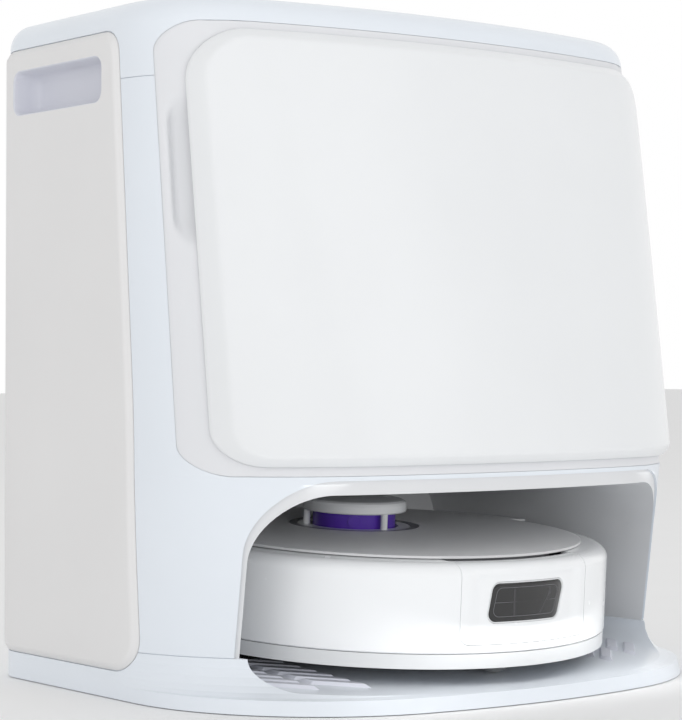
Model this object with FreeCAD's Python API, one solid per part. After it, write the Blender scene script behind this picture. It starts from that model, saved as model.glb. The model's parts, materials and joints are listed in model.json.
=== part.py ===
import FreeCAD, Part
import math
import os

V = FreeCAD.Vector

# Units are millimetres. +Z is up, -Y is the front, and the origin is on the floor at the middle of the
# station's footprint. The robot stands docked in the station, nose forward.

# Station outline: plan sections (height, half width, front y, corner radius, front radius).
SECTIONS = (
    (30, 202.0, -126.0, 140.0, 480.0),
    (137, 201.5, -130.0, 117.0, 555.0),
    (402, 200.4, -74.0, 72.0, 700.0),
    (440, 200.2, -66.0, 65.0, 720.0),
)
# The foot reaches forward under the housing: a low lip, then a concave sweep up to the wall.
FOOT_LOW = 0.6
LIP_TOP = 9.0
FOOT_FRONT_Y = -159.0
LIP_FRONT_Y = -156.0
SWEEP_STEPS = 6
BACK_Y = 159.0
BACK_RADIUS = 30.0
WALL = 3.0
BASE_TOP = 30.0
SOLE_TOP = 4.5
SEAM_GAP = 0.5
SEAM_DEPTH = 1.0
CAP_SEAM_Z = 374.5
STATION_HEIGHT = 423.0
CAP_EDGE_RADIUS = 16.0

# Front bezel and front door, in front elevation.
BEZEL_HALF_WIDTH = 193.5
BEZEL_LOW = 137.0
BEZEL_HIGH = 407.0
BEZEL_RADIUS = 18.0
DOOR_HALF_WIDTH = 184.0
DOOR_LOW = 142.8
DOOR_HIGH = 402.0
DOOR_LOW_RADIUS = 21.0
DOOR_HIGH_RADIUS = 31.0
DOOR_BACK = 1.2
DOOR_FRONT = 8.0
DOOR_SKIN = 2.2
BAY_HALF_WIDTH = 160.0
BAY_LOW = 160.0
BAY_HIGH = 385.0
BAY_BACK_Y = -12.0
HOLDER_LOW = 334.0

# Door hinge: the axis stands HINGE_OFF proud of the body, HINGE_INSET in from the door's right edge.
HINGE_OFF = 3.9
HINGE_INSET = 1.6
HINGE_LOW = 180.0
HINGE_HIGH = 365.0
KNUCKLE_R = 2.5
WEB_R = 3.3
PIN_R = 1.2
HINGE_CLEARANCE = 0.5

# Garage: the space under the front door that the robot docks in.
GARAGE_HALF_WIDTH = 169.4
GARAGE_TOP = 134.4
GARAGE_RADIUS = 43.0
LINER_WALL = 3.0
LINER_CEILING = 8.4
LINER_BOTTOM = 26.2
LINER_BACK_Y = 145.5
TRAY_HALF_WIDTH = 164.0
TRAY_CORNER = 16.0

# Side panels and the water tanks behind them, in side elevation.
PANEL_LOW = 17.8
PANEL_HIGH = 404.7
PANEL_BACK_Y = 145.0
PANEL_FRONT_LOW_Y = -13.7
PANEL_FRONT_MID = (-11.6, 165.0)
PANEL_FRONT_HIGH_Y = 7.3
PANEL_PROUD = 3.0
PANEL_THICK = 4.0
HANDLE_LOW = 362.0
HANDLE_HIGH = 391.0
HANDLE_FRONT_Y = 21.0
HANDLE_BACK_Y = 128.0
HANDLE_DEPTH = 18.0
HANDLE_FACE_X = 203.5
TANK_FRONT_Y = 10.0
TANK_BACK_Y = 132.0
TANK_LOW = 150.0
TANK_HIGH = 391.0
TANK_INNER_X = 104.0
TANK_OUTER_X = 199.2
TANK_WALL = 2.5

# Robot, in its own frame before it is tilted nose down by TILT about the skirt's bottom.
TILT = 3.42
ROBOT_R = 143.0
GROUND_Z = 18.5
SKIRT_LOW = 28.8
SEAM_Z = 38.0
SHOULDER_Z = 84.0
FLANGE_Z = 92.4
DECK_LOW = 92.8
DECK_FRONT_R = 125.8
DECK_REAR_R = 139.8
DECK_CROWN = 94.8
BUMPER_END_Y = 17.4
SHELL_START_Y = 22.0
FRAME_R = 129.5
FRAME_TOP = 88.0
TURRET_Y = 35.5
TURRET_BASE_R = 43.0
TURRET_CAP_R = 34.6
TURRET_CAP_LOW = 104.2
DISH_TOP = 94.6
POST_REACH = 31.8
SENSOR_HALF = 50.6
SENSOR_LOW = 43.2
DRUM_R = 27.5
WHEEL_X = 110.0
WHEEL_R = 31.0
WHEEL_WIDTH = 18.0
ARM_PIVOT_Y = -34.0
MOP_X = 48.5
MOP_Y = 80.0
MOP_R = 46.0
BRUSH_Y = -46.0
BRUSH_R = 15.0
BRUSH_HALF = 73.0
SIDE_BRUSH_X = 82.0
SIDE_BRUSH_Y = -85.0
CASTER_Y = -108.0
CASTER_R = 12.0
CASTER_PIN_R = 1.2
PLAY = 0.3


# ---------------------------------------------------------------- helpers
def box(x0, x1, y0, y1, z0, z1):
    return Part.makeBox(x1 - x0, y1 - y0, z1 - z0, V(x0, y0, z0))


def rod(x, y, z, radius, length, axis=(0, 0, 1)):
    return Part.makeCylinder(radius, length, V(x, y, z), V(*axis))


def tube(x, y, z, outer, inner, length, axis=(0, 0, 1)):
    start = V(x, y, z) - V(*axis)
    return rod(x, y, z, outer, length, axis).cut(
        Part.makeCylinder(inner, length + 2, start, V(*axis))
    )


def fuse(shapes):
    whole = shapes[0]
    for shape in shapes[1:]:
        whole = whole.fuse(shape)
    return whole.removeSplitter()


def group(shapes):
    return Part.makeCompound(shapes)


def mirrored(shape):
    return shape.mirror(V(0, 0, 0), V(1, 0, 0))


def rounded_outline(points, radii, to_space):
    """Closed wire through flat points, with each corner rounded by its radius."""
    edges = []
    count = len(points)
    joints = []
    for i in range(count):
        px, py = points[i]
        ax, ay = points[i - 1]
        bx, by = points[(i + 1) % count]
        la = math.hypot(ax - px, ay - py)
        lb = math.hypot(bx - px, by - py)
        ua = ((ax - px) / la, (ay - py) / la)
        ub = ((bx - px) / lb, (by - py) / lb)
        half = math.acos(max(-1, min(1, ua[0] * ub[0] + ua[1] * ub[1]))) / 2
        reach = radii[i] / math.tan(half)
        middle = radii[i] / math.sin(half) - radii[i]
        ux, uy = ua[0] + ub[0], ua[1] + ub[1]
        size = math.hypot(ux, uy)
        start = (px + ua[0] * reach, py + ua[1] * reach)
        mid = (px + ux / size * middle, py + uy / size * middle)
        end = (px + ub[0] * reach, py + ub[1] * reach)
        joints.append((start, mid, end))
    for i in range(count):
        start, mid, end = joints[i]
        if radii[i] > 0:
            edges.append(Part.Arc(to_space(*start), to_space(*mid), to_space(*end)).toShape())
        following = joints[(i + 1) % count][0]
        if math.hypot(following[0] - end[0], following[1] - end[1]) > 1e-6:
            edges.append(Part.makeLine(to_space(*end), to_space(*following)))
    return Part.Wire(edges)


def rectangle(u0, u1, v0, v1):
    return [(u0, v0), (u1, v0), (u1, v1), (u0, v1)]


def front_prism(points, radii, y0=-300.0, y1=300.0):
    """A front-elevation outline (x, z) extruded along Y."""
    wire = rounded_outline(points, radii, lambda x, z: V(x, y0, z))
    return Part.Face(wire).extrude(V(0, y1 - y0, 0))


def side_prism(points, radii, x0, x1):
    """A side-elevation outline (y, z) extruded along X."""
    wire = rounded_outline(points, radii, lambda y, z: V(x0, y, z))
    return Part.Face(wire).extrude(V(x1 - x0, 0, 0))


def plan_prism(points, radii, z0, z1):
    wire = rounded_outline(points, radii, lambda x, y: V(x, y, z0))
    return Part.Face(wire).extrude(V(0, 0, z1 - z0))


def section_wire(z, half, front, corner, radius, offset):
    """Plan outline: a bowed front between two large corners, straight sides, rounded back corners."""
    half += offset
    front -= offset
    corner += offset
    radius += offset
    back = BACK_Y + offset
    turn = BACK_RADIUS + offset
    cx = half - corner
    front_cy = front + radius
    cy = front_cy - math.sqrt((radius - corner) ** 2 - cx**2)
    lean = math.atan2(cx, front_cy - cy)

    def on_corner(angle):
        return V(cx + corner * math.sin(angle), cy - corner * math.cos(angle), z)

    def flip(p):
        return V(-p.x, p.y, p.z)

    join = on_corner(lean)
    bulge = on_corner((lean + math.pi / 2) / 2)
    side = V(half, cy, z)
    rear = V(half, back - turn, z)
    diag = turn * (1 - math.sqrt(0.5))
    rear_mid = V(half - diag, back - diag, z)
    rear_end = V(half - turn, back, z)
    edges = [
        Part.Arc(flip(join), V(0, front, z), join).toShape(),
        Part.Arc(join, bulge, side).toShape(),
        Part.makeLine(side, rear),
        Part.Arc(rear, rear_mid, rear_end).toShape(),
        Part.makeLine(rear_end, flip(rear_end)),
        Part.Arc(flip(rear_end), flip(rear_mid), flip(rear)).toShape(),
        Part.makeLine(flip(rear), flip(side)),
        Part.Arc(flip(side), flip(bulge), flip(join)).toShape(),
    ]
    return Part.Wire(edges)


def foot_sections():
    """Plan sections from the floor up to the housing, along the foot's lip and its concave sweep."""
    top, half, front, corner, radius = SECTIONS[0]
    rows = [(FOOT_LOW, half, FOOT_FRONT_Y, corner, radius)]
    for i in range(SWEEP_STEPS + 1):
        drop = math.cos(math.pi / 2 * i / SWEEP_STEPS)
        reach = 1 - math.sqrt(1 - drop**2)
        z = top - (top - LIP_TOP) * drop
        rows.append((z, half, front + (LIP_FRONT_Y - front) * reach, corner, radius))
    return rows


def full_body(offset=0.0):
    """The station's body, with the foot."""
    return station_body(offset, foot_sections() + list(SECTIONS[1:]))


def foot_body(offset=0.0):
    return station_body(offset, foot_sections())


def with_seam(shape, z):
    """Cuts the fine groove that shows where two shells meet."""
    groove = full_body(1.0).cut(full_body(-SEAM_DEPTH))
    return shape.cut(between(groove, z, z + SEAM_GAP))


def station_body(offset=0.0, sections=SECTIONS):
    wires = [section_wire(*row, offset) for row in sections]
    return Part.makeLoft(wires, True, True)


def between(shape, z0, z1):
    return shape.common(box(-400, 400, -400, 400, z0, z1))


def edges_at(shape, z):
    """Edges that lie wholly at one height."""
    return [e for e in shape.Edges if all(abs(p.z - z) < 0.01 for p in e.discretize(4))]


def front_patch(outline, inner, outer):
    """The part of the layer between two offsets of the station's body inside a front outline."""
    layer = station_body(outer).cut(station_body(inner))
    return layer.common(outline).common(box(-400, 400, -400, 0, -10, 500))


def tilted(shape):
    """From the robot's own frame to where it stands in the station."""
    moved = shape.copy()
    moved.rotate(V(0, 0, SKIRT_LOW), V(1, 0, 0), TILT)
    return moved


def revolved(points, y=0.0):
    """A profile (radius, z) turned about the vertical axis at y."""
    wire = Part.makePolygon([V(r, y, z) for r, z in points + points[:1]])
    return Part.Face(wire).revolve(V(0, y, 0), V(0, 0, 1), 360)


def save(name, shape):
    shape.exportStep("parts/" + name + ".step")
    print(name, shape.ShapeType, len(shape.Solids), shape.isValid(), round(shape.Volume / 1000, 1))


# ---------------------------------------------------------------- shared outlines
def bezel_outline(grow=0.0):
    corners = rectangle(
        -BEZEL_HALF_WIDTH - grow, BEZEL_HALF_WIDTH + grow, BEZEL_LOW - grow, BEZEL_HIGH + grow
    )
    return front_prism(corners, [BEZEL_RADIUS] * 4, y1=40.0)


def door_outline(inset=0.0):
    corners = rectangle(
        -DOOR_HALF_WIDTH + inset, DOOR_HALF_WIDTH - inset, DOOR_LOW + inset, DOOR_HIGH - inset
    )
    low, high = DOOR_LOW_RADIUS - inset * 0.6, DOOR_HIGH_RADIUS - inset * 0.6
    return front_prism(corners, [low, low, high, high], y1=40.0)


def garage_outline(inset=0.0, ceiling=0.0, low=-40.0):
    half = GARAGE_HALF_WIDTH - inset
    corners = rectangle(-half, half, low, GARAGE_TOP - ceiling)
    top = GARAGE_RADIUS - inset
    return front_prism(corners, [0, 0, top, top])


def panel_outline(grow=0.0):
    corners = [
        (PANEL_BACK_Y + grow, PANEL_LOW - grow),
        (PANEL_FRONT_LOW_Y - grow, PANEL_LOW - grow),
        (PANEL_FRONT_MID[0] - grow, PANEL_FRONT_MID[1]),
        (PANEL_FRONT_HIGH_Y - grow, PANEL_HIGH + grow),
        (PANEL_BACK_Y + grow, PANEL_HIGH + grow),
    ]
    return side_prism(corners, [8 + grow, 22 + grow, 1000, 14 + grow, 8 + grow], -230, -100)


def tank_bay():
    """The passage that each tank slides through, on the left side."""
    return box(-260, -101, TANK_FRONT_Y - 1.5, TANK_BACK_Y + 1.5, TANK_LOW - 1.5, TANK_HIGH + 3.0)


# ---------------------------------------------------------------- station
def base_tray():
    """The base: a flared foot with the sloping floor that the robot drives up."""
    foot = foot_body()
    floor = front_prism(
        rectangle(-TRAY_HALF_WIDTH, TRAY_HALF_WIDTH, GROUND_Z - PLAY, 200),
        [TRAY_CORNER, TRAY_CORNER, 0, 0],
        y1=LINER_BACK_Y,
    )
    wash_pocket = box(-122, 122, 32, 139, GROUND_Z - 4.3, 60)
    tray = foot.cut(tilted(floor)).cut(tilted(wash_pocket))
    tray = tray.cut(foot_body(-6.0).common(box(-400, 400, -125, 400, 0, SOLE_TOP)))
    return with_panel_recess(tray)


def wash_tray():
    """Removable tray under the mops, with ribs that the pads rub on."""
    low = GROUND_Z - 4.2
    plate = plan_prism(rectangle(-121.5, 121.5, 32.5, 138.5), [8] * 4, low, low + 1.8)
    ribs = []
    for side in (-1, 1):
        for i in range(-4, 5):
            x = side * MOP_X + i * 10
            reach = math.sqrt((MOP_R - 2) ** 2 - (i * 10) ** 2)
            ribs.append(box(x - 1.2, x + 1.2, MOP_Y - reach, MOP_Y + reach, low + 1.8, GROUND_Z - PLAY))
    return tilted(fuse([plate] + ribs))


def traction_ribs():
    """Two fields of oblique ribs on the slope, one for each drive wheel."""
    ribs = []
    for side in (-1, 1):
        for i in range(13):
            y = -146 + i * 8.5
            points = [(92, y), (147, y + 13), (147, y + 16.4), (92, y + 3.4)]
            flat = [(side * x, v) for x, v in points]
            ribs.append(tilted(plan_prism(flat, [0] * 4, GROUND_Z - PLAY, GROUND_Z + 1.4)))
    lip = SECTIONS[0][1:2] + (LIP_FRONT_Y,) + SECTIONS[0][3:]
    rim = station_body(-6.0, ((0, *lip), (60, *lip)))
    return group([rib.common(rim) for rib in ribs])


def panel_seat():
    """The recess behind a side panel, thickened so that the wall stays whole."""
    backing = station_body(-PANEL_THICK + PANEL_PROUD - PLAY)
    backing = backing.cut(station_body(-PANEL_THICK + PANEL_PROUD - PLAY - WALL))
    return backing.common(panel_outline(5.0))


def with_panel_recess(shape):
    recess = full_body(6.0).cut(full_body(-PANEL_THICK + PANEL_PROUD - PLAY))
    recess = recess.common(panel_outline(0.6))
    return shape.cut(recess).cut(mirrored(recess))


def with_panel_seats(shape, z0, z1):
    seat = between(panel_seat(), z0, z1)
    whole = with_panel_recess(shape.fuse(seat).fuse(mirrored(seat)))
    return whole.cut(tank_bay()).cut(mirrored(tank_bay()))


def housing_shell():
    """Walls of the station between the base and the top cap."""
    shell = station_body(0.0).cut(station_body(-WALL))
    shell = between(shell, BASE_TOP, CAP_SEAM_Z)
    shell = with_panel_seats(shell, BASE_TOP, CAP_SEAM_Z)
    shell = with_seam(shell.cut(garage_outline()).cut(bezel_outline()), BASE_TOP)
    return shell.cut(box(-165.4, 165.4, 140, 180, 33.6, 368.4))


def top_cap():
    """Hood over the housing, cut away round the bezel and the side panels."""
    outer = between(station_body(0.0), CAP_SEAM_Z, STATION_HEIGHT)
    outer = outer.makeFillet(CAP_EDGE_RADIUS, edges_at(outer, STATION_HEIGHT))
    inner = between(station_body(-WALL), CAP_SEAM_Z - 1, STATION_HEIGHT - WALL - 1)
    inner = inner.makeFillet(CAP_EDGE_RADIUS - WALL, edges_at(inner, STATION_HEIGHT - WALL - 1))
    cap = outer.cut(inner)
    cap = with_panel_seats(cap, CAP_SEAM_Z, STATION_HEIGHT - 10).cut(bezel_outline())
    return with_seam(cap, CAP_SEAM_Z)


def front_bezel():
    """Matte frame round the front door, with the finger recess at its left."""
    frame = front_patch(bezel_outline(), -WALL, 0.0)
    frame = frame.cut(front_prism(
        rectangle(-BAY_HALF_WIDTH, BAY_HALF_WIDTH, BAY_LOW, BAY_HIGH), [12] * 4, y1=40.0
    ))
    grip = front_prism(rectangle(-191.0, -170.0, 272.0, 364.0), [6] * 4, y1=40.0)
    pocket = grip.common(station_body(5.0).cut(station_body(-7.0)))
    return frame.cut(pocket).fuse(grip_back())


def grip_back():
    """Floor and walls of the finger recess."""
    outer = front_prism(rectangle(-193.0, -168.0, 269.0, 367.0), [8] * 4, y1=40.0)
    inner = front_prism(rectangle(-191.0, -170.0, 272.0, 364.0), [6] * 4, y1=40.0)
    block = outer.common(station_body(-WALL).cut(station_body(-9.0)))
    block = block.common(box(-400, 0, -400, -8, 200, 400))
    return block.cut(inner.common(station_body(5.0).cut(station_body(-7.0))))


def bag_bay():
    """Open box behind the front door, with two rails that carry the dust bag's holder."""
    outer = front_prism(
        rectangle(-BAY_HALF_WIDTH - 2.5, BAY_HALF_WIDTH + 2.5, BAY_LOW - 2.5, BAY_HIGH + 2.5),
        [14] * 4, y1=BAY_BACK_Y,
    )
    inner = front_prism(
        rectangle(-BAY_HALF_WIDTH, BAY_HALF_WIDTH, BAY_LOW, BAY_HIGH), [12] * 4, y1=BAY_BACK_Y - 2.5
    )
    rails = [box(x0, x1, -64, BAY_BACK_Y - 1, HOLDER_LOW - 3.6, HOLDER_LOW - 0.3)
             for x0, x1 in ((-BAY_HALF_WIDTH - 1, -106), (106, BAY_HALF_WIDTH + 1))]
    shell = fuse([outer.cut(inner)] + rails).common(station_body(-WALL - 0.1))
    finger_space = box(-200, -158, -200, 0, 265, 371)
    return shell.cut(finger_space.common(station_body(5).cut(station_body(-9.2))))


def dust_bag():
    body = plan_prism(rectangle(-105, 105, -68, -22), [18] * 4, 176, 330)
    return body.makeFillet(12, [e for e in body.Edges if abs(e.BoundBox.ZMax - e.BoundBox.ZMin) < 1])


def bag_holder():
    """Slide-in frame over the bag's mouth."""
    plate = box(-112, 112, -68, -18, HOLDER_LOW, HOLDER_LOW + 4)
    collar = tube(0, -45, 330.2, 22, 18, 3.8)
    tab = box(-14, 14, -78, -68, HOLDER_LOW, HOLDER_LOW + 4)
    return fuse([plate.cut(rod(0, -45, 330, 18, 20)), collar, tab])


def dust_duct():
    """Square duct from the garage floor up the rear corner, over the garage and into the bay."""
    legs = (
        (-192, -174, 60, 100, 31, 147),
        (-192, -40, 60, 100, 136, 147),
        (-76, -40, -60, 100, 136, 147),
        (-76, -40, -60, -24, 136, 157),
    )
    outer = fuse([box(*leg) for leg in legs])
    w = 1.6
    cores = (
        (-192 + w, -174 - w, 60 + w, 100 - w, 30, 147 - w),
        (-192 + w, -40 - w, 60 + w, 100 - w, 136 + w, 147 - w),
        (-76 + w, -40 - w, -60 + w, 100 - w, 136 + w, 147 - w),
        (-76 + w, -40 - w, -60 + w, -24 - w, 136 + w, 158),
    )
    return outer.cut(fuse([box(*core) for core in cores]))


def suction_motor():
    body = rod(0, 74, 205, 44, 62)
    snout = rod(0, 74, 185, 24, 20)
    bell = rod(0, 74, 267, 30, 14)
    return fuse([body, snout, bell])


def machine_floor():
    """Inner floor above the garage, with the raised bench that carries the suction motor."""
    plate = between(station_body(-WALL - 0.2), 147.2, 149.8)
    plate = plate.common(box(-187, 187, -8, 155, 140, 160))
    bench = box(-96, 96, 20, 130, 180, 184.8)
    legs = [box(x - 6, x + 6, y - 6, y + 6, 149.8, 180) for x in (-80, 80) for y in (30, 118)]
    return fuse([plate, bench] + legs)


def drying_fan():
    scroll = rod(-52, 88, 300, 26, 24)
    outlet = box(-90, -52, 76, 88, 302, 322)
    return fuse([scroll, outlet])


def water_pumps():
    pumps = []
    for x in (-70, 70):
        pumps.append(fuse([rod(x, 60, 190, 15, 46), rod(x, 60, 236, 9, 16)]))
    return group(pumps)


def power_board():
    board = box(-86, 86, 141, 142.6, 215, 365)
    pieces = [board, box(-70, -20, 122, 141, 240, 290), box(10, 34, 118, 141, 225, 249)]
    pieces += [rod(60, 141, z, 9, 22, (0, -1, 0)) for z in (240, 270, 300)]
    pieces.append(box(-60, -10, 130, 141, 310, 345))
    return fuse(pieces)


def garage_liner():
    """Inner skin of the garage: two side walls, ceiling and back wall."""
    outer = garage_outline(0.0, 0.0, LINER_BOTTOM).common(box(-300, 300, -300, LINER_BACK_Y + 3, 0, 300))
    inner = garage_outline(LINER_WALL, LINER_CEILING, 0.0)
    inner = inner.common(box(-300, 300, -300, LINER_BACK_Y, 0, 300))
    shell = outer.cut(inner)
    inside = station_body(-1.6).common(box(-400, 400, -400, 400, LINER_BOTTOM, 200))
    shell = shell.common(inside).cut(foot_body())
    return shell.cut(box(-178, -160, 64, 96, 20, 30))


def charging_contacts():
    plates = []
    for x in (-34, 34):
        strip = box(x - 9, x + 9, 142.4, LINER_BACK_Y, 44, 66)
        plates.append(strip)
    return group(plates)


def beacon_window():
    return front_prism(rectangle(-20, 20, 76, 96), [5] * 4, y0=143.8, y1=LINER_BACK_Y)


def rear_panel():
    plate = front_prism(rectangle(-165, 165, 34, 368), [6] * 4, y0=156.0, y1=BACK_Y)
    for i in range(9):
        plate = plate.cut(box(-60, 60, 150, 165, 300 + i * 6, 302.6 + i * 6))
    plate = plate.cut(box(108.8, 135.2, 150, 165, 57.8, 78.2))
    for x, z in screw_places():
        plate = plate.cut(rod(x, 150, z, 1.7, 20, (0, 1, 0)))
        plate = plate.cut(rod(x, BACK_Y - 1.8, z, 3.4, 5, (0, 1, 0)))
    return plate


def screw_places():
    return [(x, z) for x in (-155, 155) for z in (44, 200, 358)]


def rear_screws():
    screws = []
    for x, z in screw_places():
        head = rod(x, BACK_Y - 1.8, z, 3.3, 1.7, (0, 1, 0))
        shank = rod(x, BACK_Y - 7.8, z, 1.6, 6.2, (0, 1, 0))
        drive = rod(x, BACK_Y - 1.0, z, 1.3, 2, (0, 1, 0))
        screws.append(head.fuse(shank).cut(drive))
    return group(screws)


def power_inlet():
    """Two-pin mains inlet in the rear panel. Its socket is open to the back."""
    body = box(109, 135, 149.2, BACK_Y, 58, 78)
    socket = front_prism(rectangle(113, 131, 63.5, 72.5), [4.4] * 4, y0=151.4, y1=200)
    pins = [rod(x, 151.4, 68, 1.2, 6.0, (0, 1, 0)) for x in (117.7, 126.3)]
    return fuse([body.cut(socket)] + pins)


def station_feet():
    return group([rod(x, y, 0, 13, SOLE_TOP) for x in (-160, 160) for y in (-50, 130)])


# ---------------------------------------------------------------- front door
def hinge_line():
    """Foot and direction of the door's hinge axis, along the door's right edge."""
    low_row, high_row = SECTIONS[1], SECTIONS[2]

    def place(z):
        t = (z - low_row[0]) / (high_row[0] - low_row[0])
        half, front, corner, radius = [a + (b - a) * t for a, b in zip(low_row[1:], high_row[1:])]
        corner += HINGE_OFF
        radius += HINGE_OFF
        cx = half + HINGE_OFF - corner
        front_cy = front - HINGE_OFF + radius
        cy = front_cy - math.sqrt((radius - corner) ** 2 - cx**2)
        x = DOOR_HALF_WIDTH - HINGE_INSET
        return V(x, cy - math.sqrt(corner**2 - (x - cx) ** 2), z)

    low, high = place(HINGE_LOW), place(HINGE_HIGH)
    return low, (high - low).normalize()


def along_hinge(start, length, radius):
    low, direction = hinge_line()
    at = low + direction * start
    return Part.makeCylinder(radius, length, at, direction)


def hinge_stations():
    """Distances along the hinge axis where the two brackets start."""
    return (6.0, 166.0)


def door_skin():
    """Outer shell of the door, with softened edges and an open back."""
    layers = ((DOOR_BACK, 3.6, 0.0), (3.6, 5.4, 1.0), (5.4, 6.9, 2.6), (6.9, DOOR_FRONT, 4.6))
    solid = fuse([front_patch(door_outline(inset), low, high) for low, high, inset in layers])
    hollow = front_patch(door_outline(DOOR_SKIN + 2.6), DOOR_BACK - 1, DOOR_FRONT - DOOR_SKIN)
    skin = solid.cut(hollow)
    edge = box(DOOR_HALF_WIDTH - 5.2, 220, -200, 60, 100, 450)
    swing = station_body(3.3).cut(station_body(-2)).common(edge)
    skin = skin.cut(swing)
    for start in hinge_stations():
        skin = skin.cut(along_hinge(start - 0.5, 11.0, WEB_R + HINGE_CLEARANCE))
    return skin


def door_liner():
    """Flat inner panel that closes the door's back."""
    return front_patch(door_outline(14.0), DOOR_BACK + 0.2, DOOR_BACK + 1.8)


def hinge_pins():
    """Two hinge pins, each with the lugs that join it to the door."""
    pieces = []
    for start in hinge_stations():
        pin = along_hinge(start - 6.0, 22.0, PIN_R)
        lugs = [along_hinge(start - 6.0, 5.5, 2.2), along_hinge(start + 10.5, 5.5, 2.2)]
        pieces.append(fuse([pin] + lugs))
    return group(pieces)


def hinge_brackets():
    """Two knuckles on the bezel that the hinge pins turn in."""
    pieces = []
    for start in hinge_stations():
        knuckle = along_hinge(start, 10.0, KNUCKLE_R)
        web = along_hinge(start, 10.0, WEB_R).common(station_body(DOOR_BACK - 0.3))
        whole = knuckle.fuse(web).cut(station_body(0.0))
        pieces.append(whole.cut(along_hinge(start - 1, 12.0, PIN_R + 0.06)))
    return group(pieces)


# ---------------------------------------------------------------- side tanks
def side_panel():
    layer = full_body(PANEL_PROUD).cut(full_body(PANEL_PROUD - PANEL_THICK))
    panel = layer.common(panel_outline())
    hole = side_prism(
        rectangle(HANDLE_FRONT_Y - 2, HANDLE_BACK_Y + 2, HANDLE_LOW - 2, HANDLE_HIGH + 2),
        [10] * 4, -260, -150,
    )
    return panel.cut(hole)


def handle_cup():
    """Lining of the handle recess: a rim in the panel and a deeper finger pocket."""
    rim = side_prism(
        rectangle(HANDLE_FRONT_Y - 2, HANDLE_BACK_Y + 2, HANDLE_LOW - 2, HANDLE_HIGH + 2),
        [10] * 4, -HANDLE_FACE_X, -HANDLE_FACE_X + HANDLE_DEPTH + 2,
    )
    hollow = side_prism(
        rectangle(HANDLE_FRONT_Y, HANDLE_BACK_Y, HANDLE_LOW, HANDLE_HIGH),
        [8] * 4, -210, -HANDLE_FACE_X + HANDLE_DEPTH,
    )
    return rim.cut(hollow)


def tank_shell():
    """Water tank: a hollow box with an open top, stepped to clear the handle."""
    outer = side_prism(
        rectangle(TANK_FRONT_Y, TANK_BACK_Y, TANK_LOW, TANK_HIGH - 4), [6, 6, 0, 0],
        -TANK_OUTER_X, -TANK_INNER_X,
    )
    step = box(-220, -HANDLE_FACE_X + HANDLE_DEPTH + 3, -50, 200, HANDLE_LOW - 4, 420)
    w = TANK_WALL
    inner = side_prism(
        rectangle(TANK_FRONT_Y + w, TANK_BACK_Y - w, TANK_LOW + w, TANK_HIGH + 10), [4, 4, 0, 0],
        -TANK_OUTER_X + w, -TANK_INNER_X - w,
    )
    inner_step = box(-220, -HANDLE_FACE_X + HANDLE_DEPTH + 3 + w, -50, 200, HANDLE_LOW - 4 - w, 420)
    return outer.cut(step).cut(inner.cut(inner_step))


def tank_lid():
    """Lid on the tank with a filler cap and its grip bar."""
    x0 = -HANDLE_FACE_X + HANDLE_DEPTH + 3.4
    plate = plan_prism(
        rectangle(x0, -TANK_INNER_X, TANK_FRONT_Y, TANK_BACK_Y), [3] * 4, TANK_HIGH - 4, TANK_HIGH - 1.5
    )
    cap = rod(-142, 70, TANK_HIGH - 1.5, 22, 2.0)
    bar = box(-162, -122, 68, 72, TANK_HIGH + 0.5, TANK_HIGH + 2.4)
    return fuse([plate, cap, bar])


# ---------------------------------------------------------------- robot
def wheel_wells():
    return fuse([box(s * WHEEL_X - 14, s * WHEEL_X + 14, -48, 46, 0, 86) for s in (-1, 1)])


def robot_chassis():
    """Bottom plate with openings for the wheels, brushes, mop spindles and caster."""
    disc = rod(0, 0, SKIRT_LOW, 138.0, 5.0)
    disc = disc.cut(wheel_wells())
    mouth = BRUSH_HALF + 4
    disc = disc.cut(box(-mouth, mouth, BRUSH_Y - 18, BRUSH_Y + 18, 0, 60))
    disc = disc.cut(rod(SIDE_BRUSH_X, SIDE_BRUSH_Y, 0, 5.0, 60))
    disc = disc.cut(rod(0, CASTER_Y, 0, CASTER_R + PLAY, 60))
    for side in (-1, 1):
        disc = disc.cut(rod(side * MOP_X, MOP_Y, 0, 8.0, 60))
    roof = box(-mouth - 3, mouth + 3, BRUSH_Y - 21, BRUSH_Y + 21, SKIRT_LOW + 5, 56)
    roof = roof.cut(box(-mouth, mouth, BRUSH_Y - 18, BRUSH_Y + 18, 0, 53))
    hood = rod(0, CASTER_Y, SKIRT_LOW + 5, CASTER_R + 3, 11).cut(caster_socket())
    pins = [arm_pin(side) for side in (-1, 1)]
    whole = fuse([disc, roof, hood] + pins)
    return tilted(whole.cut(caster_pin(CASTER_PIN_R + 0.05, CASTER_R + 3.5)))


def caster_pin(radius, half):
    return rod(-half, CASTER_Y, GROUND_Z + CASTER_R + 0.1, radius, 2 * half, (1, 0, 0))


def caster_socket():
    return fuse([
        Part.makeSphere(CASTER_R + PLAY, V(0, CASTER_Y, GROUND_Z + CASTER_R)),
        rod(0, CASTER_Y, 0, CASTER_R + PLAY, GROUND_Z + CASTER_R),
    ])


def robot_skirt():
    ring = tube(0, 0, SKIRT_LOW, 142.4, 138.0, SEAM_Z - SKIRT_LOW - 0.4)
    return tilted(ring)


def robot_frame():
    """Inner wall and top plate that the shell, bumper and deck are fixed to."""
    wall = tube(0, 0, SKIRT_LOW + 5, FRAME_R, FRAME_R - 2.4, FRAME_TOP - SKIRT_LOW - 5)
    top = rod(0, 0, FRAME_TOP - 1.4, FRAME_R, 1.4)
    rear = box(-200, 200, SHELL_START_Y + 2, 200, 0, 200)
    ledge = tube(0, 0, 69, ROBOT_R - 3.1, FRAME_R - 1, 3).common(rear)
    wells = wheel_wells().common(rod(0, 0, 0, FRAME_R + 1, FRAME_TOP - 1.4))
    wall = fuse([wall, top, ledge]).cut(wells)
    top_holes = fuse([rod(0, TURRET_Y, 80, 30, 20), box(-55, 55, -112, -38, 80, 100)])
    return tilted(wall.cut(top_holes))


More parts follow.
